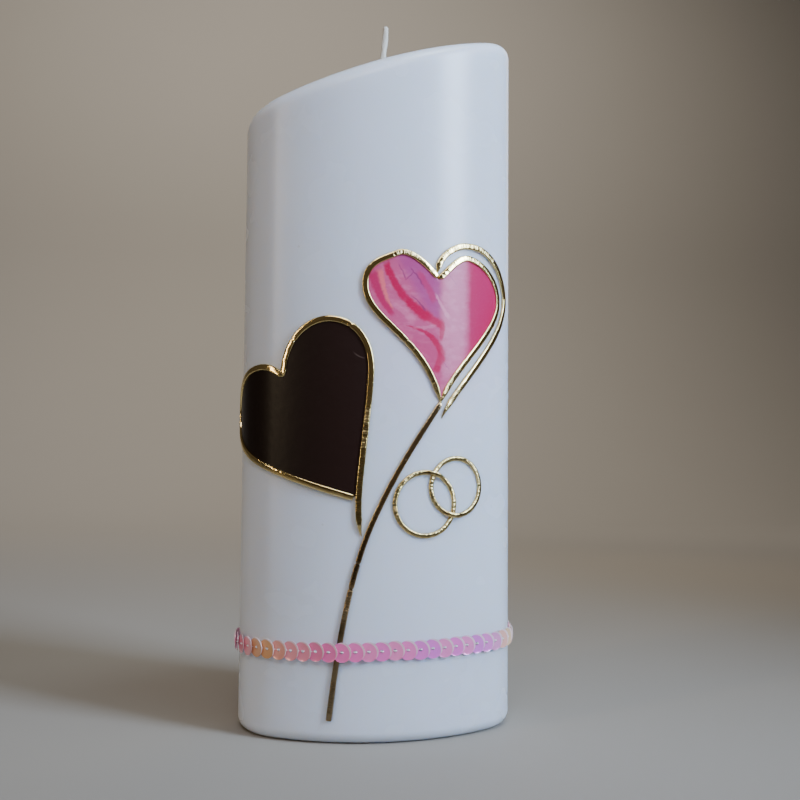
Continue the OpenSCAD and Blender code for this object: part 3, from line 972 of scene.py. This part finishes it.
class CANDLE_OT_hearts(bpy.types.Operator):
    """Cut the two heart sheets and lay them on the wax"""
    bl_idname = "candle.hearts"
    bl_label = "Heart sheets"

    def execute(self, context):
        colours = context.scene.candle_colours
        self.sheet("dark_heart", "dark_heart_sheet", (DARK_LEFT, DARK_RIGHT), DARK_CENTRE,
                   dark_wax_finish(colours), "dark_wax")
        self.sheet("pink_heart", "pink_heart_sheet", (PINK_LEFT, PINK_RIGHT), PINK_CENTRE,
                   pink_wax_finish(colours), "pink_wax")
        return {"FINISHED"}

    def sheet(self, name, node, halves, centre, material, slot):
        """A thin sheet inside the outline that the two halves make."""
        _, ornaments, oval = scene_sizes()
        left, right = (evenly(along(half), 0.6 * MM)[0] for half in halves)
        outline = left[::-1] + right[1:]
        middle = Vector((*centre, 0)) * MM
        margin = ornaments.strip_width * 0.15
        # How far out and how high its rings are: the underside, the rounded edge, then the top
        top_share, top_rings = 0.985, 26
        spread = [(0, 0), (1, 0), (1, 0.6), (0.994, 0.9), (top_share, 1)]
        spread += [(top_share * (1 - k / top_rings), 1) for k in range(1, top_rings + 1)]
        rows = len(spread) - 1
        columns = len(outline) - 1

        def on_sheet(u, v):
            share, up = spread[round(v * rows)]
            out = outline[round(u * columns) % columns] - middle
            return middle + out * share * (1 - margin / max(out.length, 1e-6)), up * ornaments.sheet

        def place(u, v):
            q, h = on_sheet(u, v)
            return oval.on_wax(q.x, q.y, h)

        def flat(u, v):
            q, _ = on_sheet(u, v)
            return (q.x - middle.x) / MM, (q.y - middle.y) / MM

        bm = wrapped_grid(columns, rows, place, flat)
        close_up(bm)
        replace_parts(finished_object(name, bm, material, slot), node)


# Piece, CAD node, outlines, tilt, then in millimetres the lengths of both tapers and the nicks' places
GOLD_STRIPS = (
    ("dark_heart_edge_left", "dark_heart_strip_left", (DARK_LEFT,), 0.08, (1.5, 0), ()),
    ("dark_heart_edge_right", "dark_heart_strip_right", (DARK_RIGHT, DARK_TAIL), -0.08, (1.5, 6), (12, 33)),
    ("pink_heart_edge_left", "pink_heart_strip_left", (PINK_LEFT,), 0.08, (1.5, 5), (54.5,)),
    ("pink_heart_edge_right", "pink_heart_strip_right", (PINK_RIGHT,), -0.08, (1.5, 5), ()),
    ("echo_edge", "echo_strip", (ECHO,), -0.05, (2.5, 7), ()),
)


class CANDLE_OT_strips(bpy.types.Operator):
    """Lay the gold strips round the hearts and down the stem"""
    bl_idname = "candle.strips"
    bl_label = "Gold strips"

    def execute(self, context):
        ornaments = context.scene.candle_ornaments
        colours = context.scene.candle_colours
        gold = gold_finish("strip_foil", colours.gold, 0.3)
        # The stem's foil carries painted shade: a darker gold, darker still toward the foot.
        shaded_stem_gold = gold_finish("stem_foil", toned(colours.shaded_stem_gold, 1.9), 0.0, toned(colours.shaded_stem_gold, 0.8))
        for name, node, chains, tilt, taper, nicks in GOLD_STRIPS:
            self.strip(name, node, chains, gold, ornaments.strip_width, tilt, taper, nicks)
        self.strip("stem", "stem_strip", (STEM,), shaded_stem_gold, ornaments.stem_width, 0.12, (1.2, 0), (57, 65))
        return {"FINISHED"}

    def strip(self, name, node, chains, foil, width, tilt, taper, nicks):
        """One strip along the chains, which follow each other."""
        _, ornaments, oval = scene_sizes()
        points = []
        for chain in chains:
            points += along(chain)[1 if points else 0:]
        line, total = evenly(points, 0.3 * MM)
        bm = strip_mesh(oval, line, total, width, ornaments.strip_height, ornaments.crinkle, tilt=tilt,
                        taper=[t * MM for t in taper], nicks=[n * MM for n in nicks])
        close_up(bm)
        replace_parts(finished_object(name, bm, foil, "gold_wax", 60), node)


class CANDLE_OT_rings(bpy.types.Operator):
    """Lay the two interlaced rings"""
    bl_idname = "candle.rings"
    bl_label = "Rings"

    def execute(self, context):
        ornaments = context.scene.candle_ornaments
        gold = gold_finish("ring_foil", context.scene.candle_colours.gold, 1.0)
        large_at = Vector((*RING_LARGE_AT, 0)) * MM
        small_at = Vector((*RING_SMALL_AT, 0)) * MM
        large = ornaments.ring_large - ornaments.ring_width / 2
        small = ornaments.ring_small - ornaments.ring_width / 2
        gap = small_at - large_at
        heading = math.atan2(gap.y, gap.x)

        def crossing(a, b):
            """Angle between the line of the centres and the place where radius a meets radius b."""
            return math.acos((gap.length ** 2 + a * a - b * b) / (2 * gap.length * a))

        self.ring("large_ring", "ring_large", large_at, large, heading + crossing(large, small), gold)
        self.ring("small_ring", "ring_small", small_at, small,
                  heading + math.pi + crossing(small, large), gold)
        return {"FINISHED"}

    def ring(self, name, node, at, radius, over, gold):
        """A ring that rises over its neighbour at the angle over."""
        _, ornaments, oval = scene_sizes()
        width, height = ornaments.ring_width, ornaments.ring_height
        steps = round(math.tau * radius / (0.3 * MM))
        turns = [math.tau * k / steps for k in range(steps + 1)]
        line = [at + Vector((math.cos(turn), math.sin(turn), 0)) * radius for turn in turns]
        crest, ramp, clearance = width / 2 + 0.5 * MM, 2.6 * MM, 0.1 * MM

        def lift(k):
            off = abs((turns[k] - over + math.pi) % math.tau - math.pi) * radius
            return (height + clearance) * (1 - smooth((off - crest) / ramp))

        bm = strip_mesh(oval, line, math.tau * radius, width, height, ornaments.crinkle,
                        roundness=ROUND, closed=True, lift=lift)
        close_up(bm)
        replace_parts(finished_object(name, bm, gold, "gold_wax", 60), node)


class SequinBand:
    """Where each sequin of the band sits and which way it faces."""

    def __init__(self, ornaments, oval):
        self.oval = oval
        self.count = ornaments.sequins
        self.step = 2 * oval.half_round / self.count
        self.tilt = ornaments.sequin_tilt
        self.middle_z = (BAND_LOW[2] + BAND_HIGH[2]) / 2
        self.sag = 0.5 * MM
        self.lift = 0.8 * MM
        # The swell that carries the band over the stem
        self.swell_height = 0.85 * ornaments.strip_height
        self.swell_at = -15.2 * MM
        self.swell_reach = 9 * MM

    def distance(self, i):
        return -self.oval.half_round + (i + 0.5) * self.step

    def swell(self, s):
        return self.swell_height * math.exp(-((s - self.swell_at) / self.swell_reach) ** 2)

    def middle(self, i):
        s = self.distance(i)
        z = self.middle_z + self.sag * math.sin(math.pi * s / self.oval.half_round)
        return self.oval.on_wax(s, z, self.lift + self.swell(s))

    def axes(self, i):
        """Unit vectors of sequin i: to its right, up, and out of its face."""
        s = self.distance(i)
        slope = -self.swell(s) * 2 * (s - self.swell_at) / self.swell_reach ** 2
        turn = self.oval.lean(s) - self.tilt - math.atan(slope)
        return (Vector((math.cos(turn), math.sin(turn), 0)), Vector((0, 0, 1)),
                Vector((math.sin(turn), -math.cos(turn), 0)))


SEQUIN_THICKNESS = 0.15 * MM

# The underside of a sequin of radius 3, from its hole to its dished rim: radius and height in
# millimetres
SEQUIN_SECTION = ((0.50, 0.00), (1.10, 0.00), (1.60, 0.01), (2.40, 0.06), (2.93, 0.11), (3.00, 0.14))

# The thread at each sequin, in millimetres: how far right of the hole and how far out of the disc
STITCH = ((0.50, -0.30), (0.32, 0.24), (-0.15, 0.22), (-0.65, -0.20))


class CANDLE_OT_sequins(bpy.types.Operator):
    """String the band of sequins round the foot, with its thread and pins"""
    bl_idname = "candle.sequins"
    bl_label = "Sequin band"

    def execute(self, context):
        _, ornaments, oval = scene_sizes()
        band = SequinBand(ornaments, oval)
        self.sequins(ornaments, band)
        self.thread(ornaments, band, context.scene.candle_colours)
        cover("trim_pins", steel_finish("pin_steel", 400.0))
        return {"FINISHED"}

    def disc(self, bm, rim_highlight_layer, rim):
        """Turns one sequin about the origin; its rim layer, which places a painted highlight, is highest at
        the upper right.
        """
        scale = rim / SEQUIN_SECTION[-1][0]
        low = [Vector((r * scale, 0, h * MM)) for r, h in SEQUIN_SECTION]
        high = [p + Vector((0, 0, SEQUIN_THICKNESS)) for p in reversed(low)]
        section = [bm.verts.new(p) for p in low + high]
        edges = [bm.edges.new(pair) for pair in zip(section, section[1:] + section[:1])]
        bmesh.ops.spin(bm, geom=section + edges, cent=(0, 0, 0), axis=(0, 0, 1), angle=math.tau,
                       steps=32, use_merge=True)
        bmesh.ops.remove_doubles(bm, verts=bm.verts, dist=1e-7)
        bmesh.ops.recalc_face_normals(bm, faces=bm.faces)
        for v in bm.verts:
            v[rim_highlight_layer] = v.co.xy.length / rim * (0.7 + 0.3 * (v.co.x * 0.8 + v.co.y * 0.6) / rim)

    def sequins(self, ornaments, band):
        """Copies the disc round the band, each a little off its neighbours in place and colour."""
        rng = random.Random(7)
        bm = bmesh.new()
        layers = bm.verts.layers.float
        turn_layer, shade_layer = layers.new("turn"), layers.new("shade")
        self.disc(bm, layers.new("rim"), ornaments.sequin_width / 2)
        pattern = [*bm.verts, *bm.edges, *bm.faces]
        pattern_verts = list(bm.verts)
        for i in range(band.count):
            copy = bmesh.ops.duplicate(bm, geom=pattern)
            verts = [g for g in copy["geom"] if isinstance(g, bmesh.types.BMVert)]
            place = Matrix(band.axes(i)).transposed().to_4x4()
            place.translation = band.middle(i) + Vector((0, 0, rng.uniform(-0.12, 0.12) * MM))
            nod = Matrix.Rotation(math.radians(rng.uniform(-2.5, 2.5)), 4, "X")
            bmesh.ops.transform(bm, matrix=place @ nod, verts=verts)
            turn = (i + 0.5) / band.count + rng.uniform(-0.006, 0.006)
            shade = rng.random()
            for v in verts:
                v[turn_layer] = turn
                v[shade_layer] = shade
        bmesh.ops.delete(bm, geom=pattern_verts, context="VERTS")
        piece = finished_object("sequin_band", bm, sequin_finish(), "sequin_film", 50)
        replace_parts(piece, "sequins")

    def thread(self, ornaments, band, colours):
        """The thread comes up through each hole and runs on under the next sequin to the left."""
        route = []
        for i in range(band.count - 3, 1, -1):
            right, _, out = band.axes(i)
            centre = band.middle(i) + out * SEQUIN_THICKNESS / 2
            route += [centre + (right * x + out * up) * MM for x, up in STITCH]
        rounded = []
        for k, p in enumerate(route):
            before = route[max(k - 1, 0)]
            after = route[min(k + 1, len(route) - 1)]
            rounded += [p.lerp(before, 0.18), p.lerp((before + after) / 2, 0.12), p.lerp(after, 0.18)]
        # A closed end needs its first and last points twice
        points = [rounded[0], *rounded, rounded[-1]]
        rows = len(points) - 1
        radius = ornaments.thread_width / 2
        up = Vector((0, 0, 1))

        def place(u, v):
            k = round(v * rows)
            if k in (0, rows):
                return points[k].copy()
            side = (points[k + 1] - points[k - 1]).normalized().cross(up).normalized()
            turn = math.tau * u
            return points[k] + (side * math.cos(turn) + up * math.sin(turn)) * radius

        bm = wrapped_grid(8, rows, place, lambda u, v: (u, v * rows * 0.6))
        close_up(bm)
        cotton = cotton_finish("sewing_thread", colours.thread, 1.6)
        piece = finished_object("stitches", bm, cotton, "sewing_thread", 80)
        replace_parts(piece, "sequin_thread")


class CANDLE_PT_panel(bpy.types.Panel):
    """Sizes, colours and builders of the candle"""
    bl_idname = "CANDLE_PT_panel"
    bl_label = "Unity Candle"
    bl_space_type = "VIEW_3D"
    bl_region_type = "UI"
    bl_category = "Candle"

    def draw(self, context):
        for name, group in GROUPS:
            box = self.layout.box()
            for setting in group.__annotations__:
                box.prop(getattr(context.scene, name), setting)
        for operator in OPERATORS:
            self.layout.operator(operator.bl_idname)


GROUPS = (
    ("candle_sizes", CandleSizes),
    ("candle_ornaments", OrnamentSizes),
    ("candle_colours", CandleColours),
    ("candle_stage", StageSettings),
)
OPERATORS = (
    CANDLE_OT_stage,
    CANDLE_OT_coat,
    CANDLE_OT_wick,
    CANDLE_OT_hearts,
    CANDLE_OT_strips,
    CANDLE_OT_rings,
    CANDLE_OT_sequins,
)


def register():
    for name, group in GROUPS:
        bpy.utils.register_class(group)
        setattr(bpy.types.Scene, name, bpy.props.PointerProperty(type=group))
    for cls in (*OPERATORS, CANDLE_PT_panel):
        bpy.utils.register_class(cls)


def unregister():
    for cls in (CANDLE_PT_panel, *reversed(OPERATORS)):
        bpy.utils.unregister_class(cls)
    for name, group in reversed(GROUPS):
        delattr(bpy.types.Scene, name)
        bpy.utils.unregister_class(group)


def main():
    register()
    bpy.ops.candle.stage()
    bpy.ops.candle.coat()
    bpy.ops.candle.wick()
    bpy.ops.candle.hearts()
    bpy.ops.candle.strips()
    bpy.ops.candle.rings()
    bpy.ops.candle.sequins()


if __name__ == "__main__":
    main()
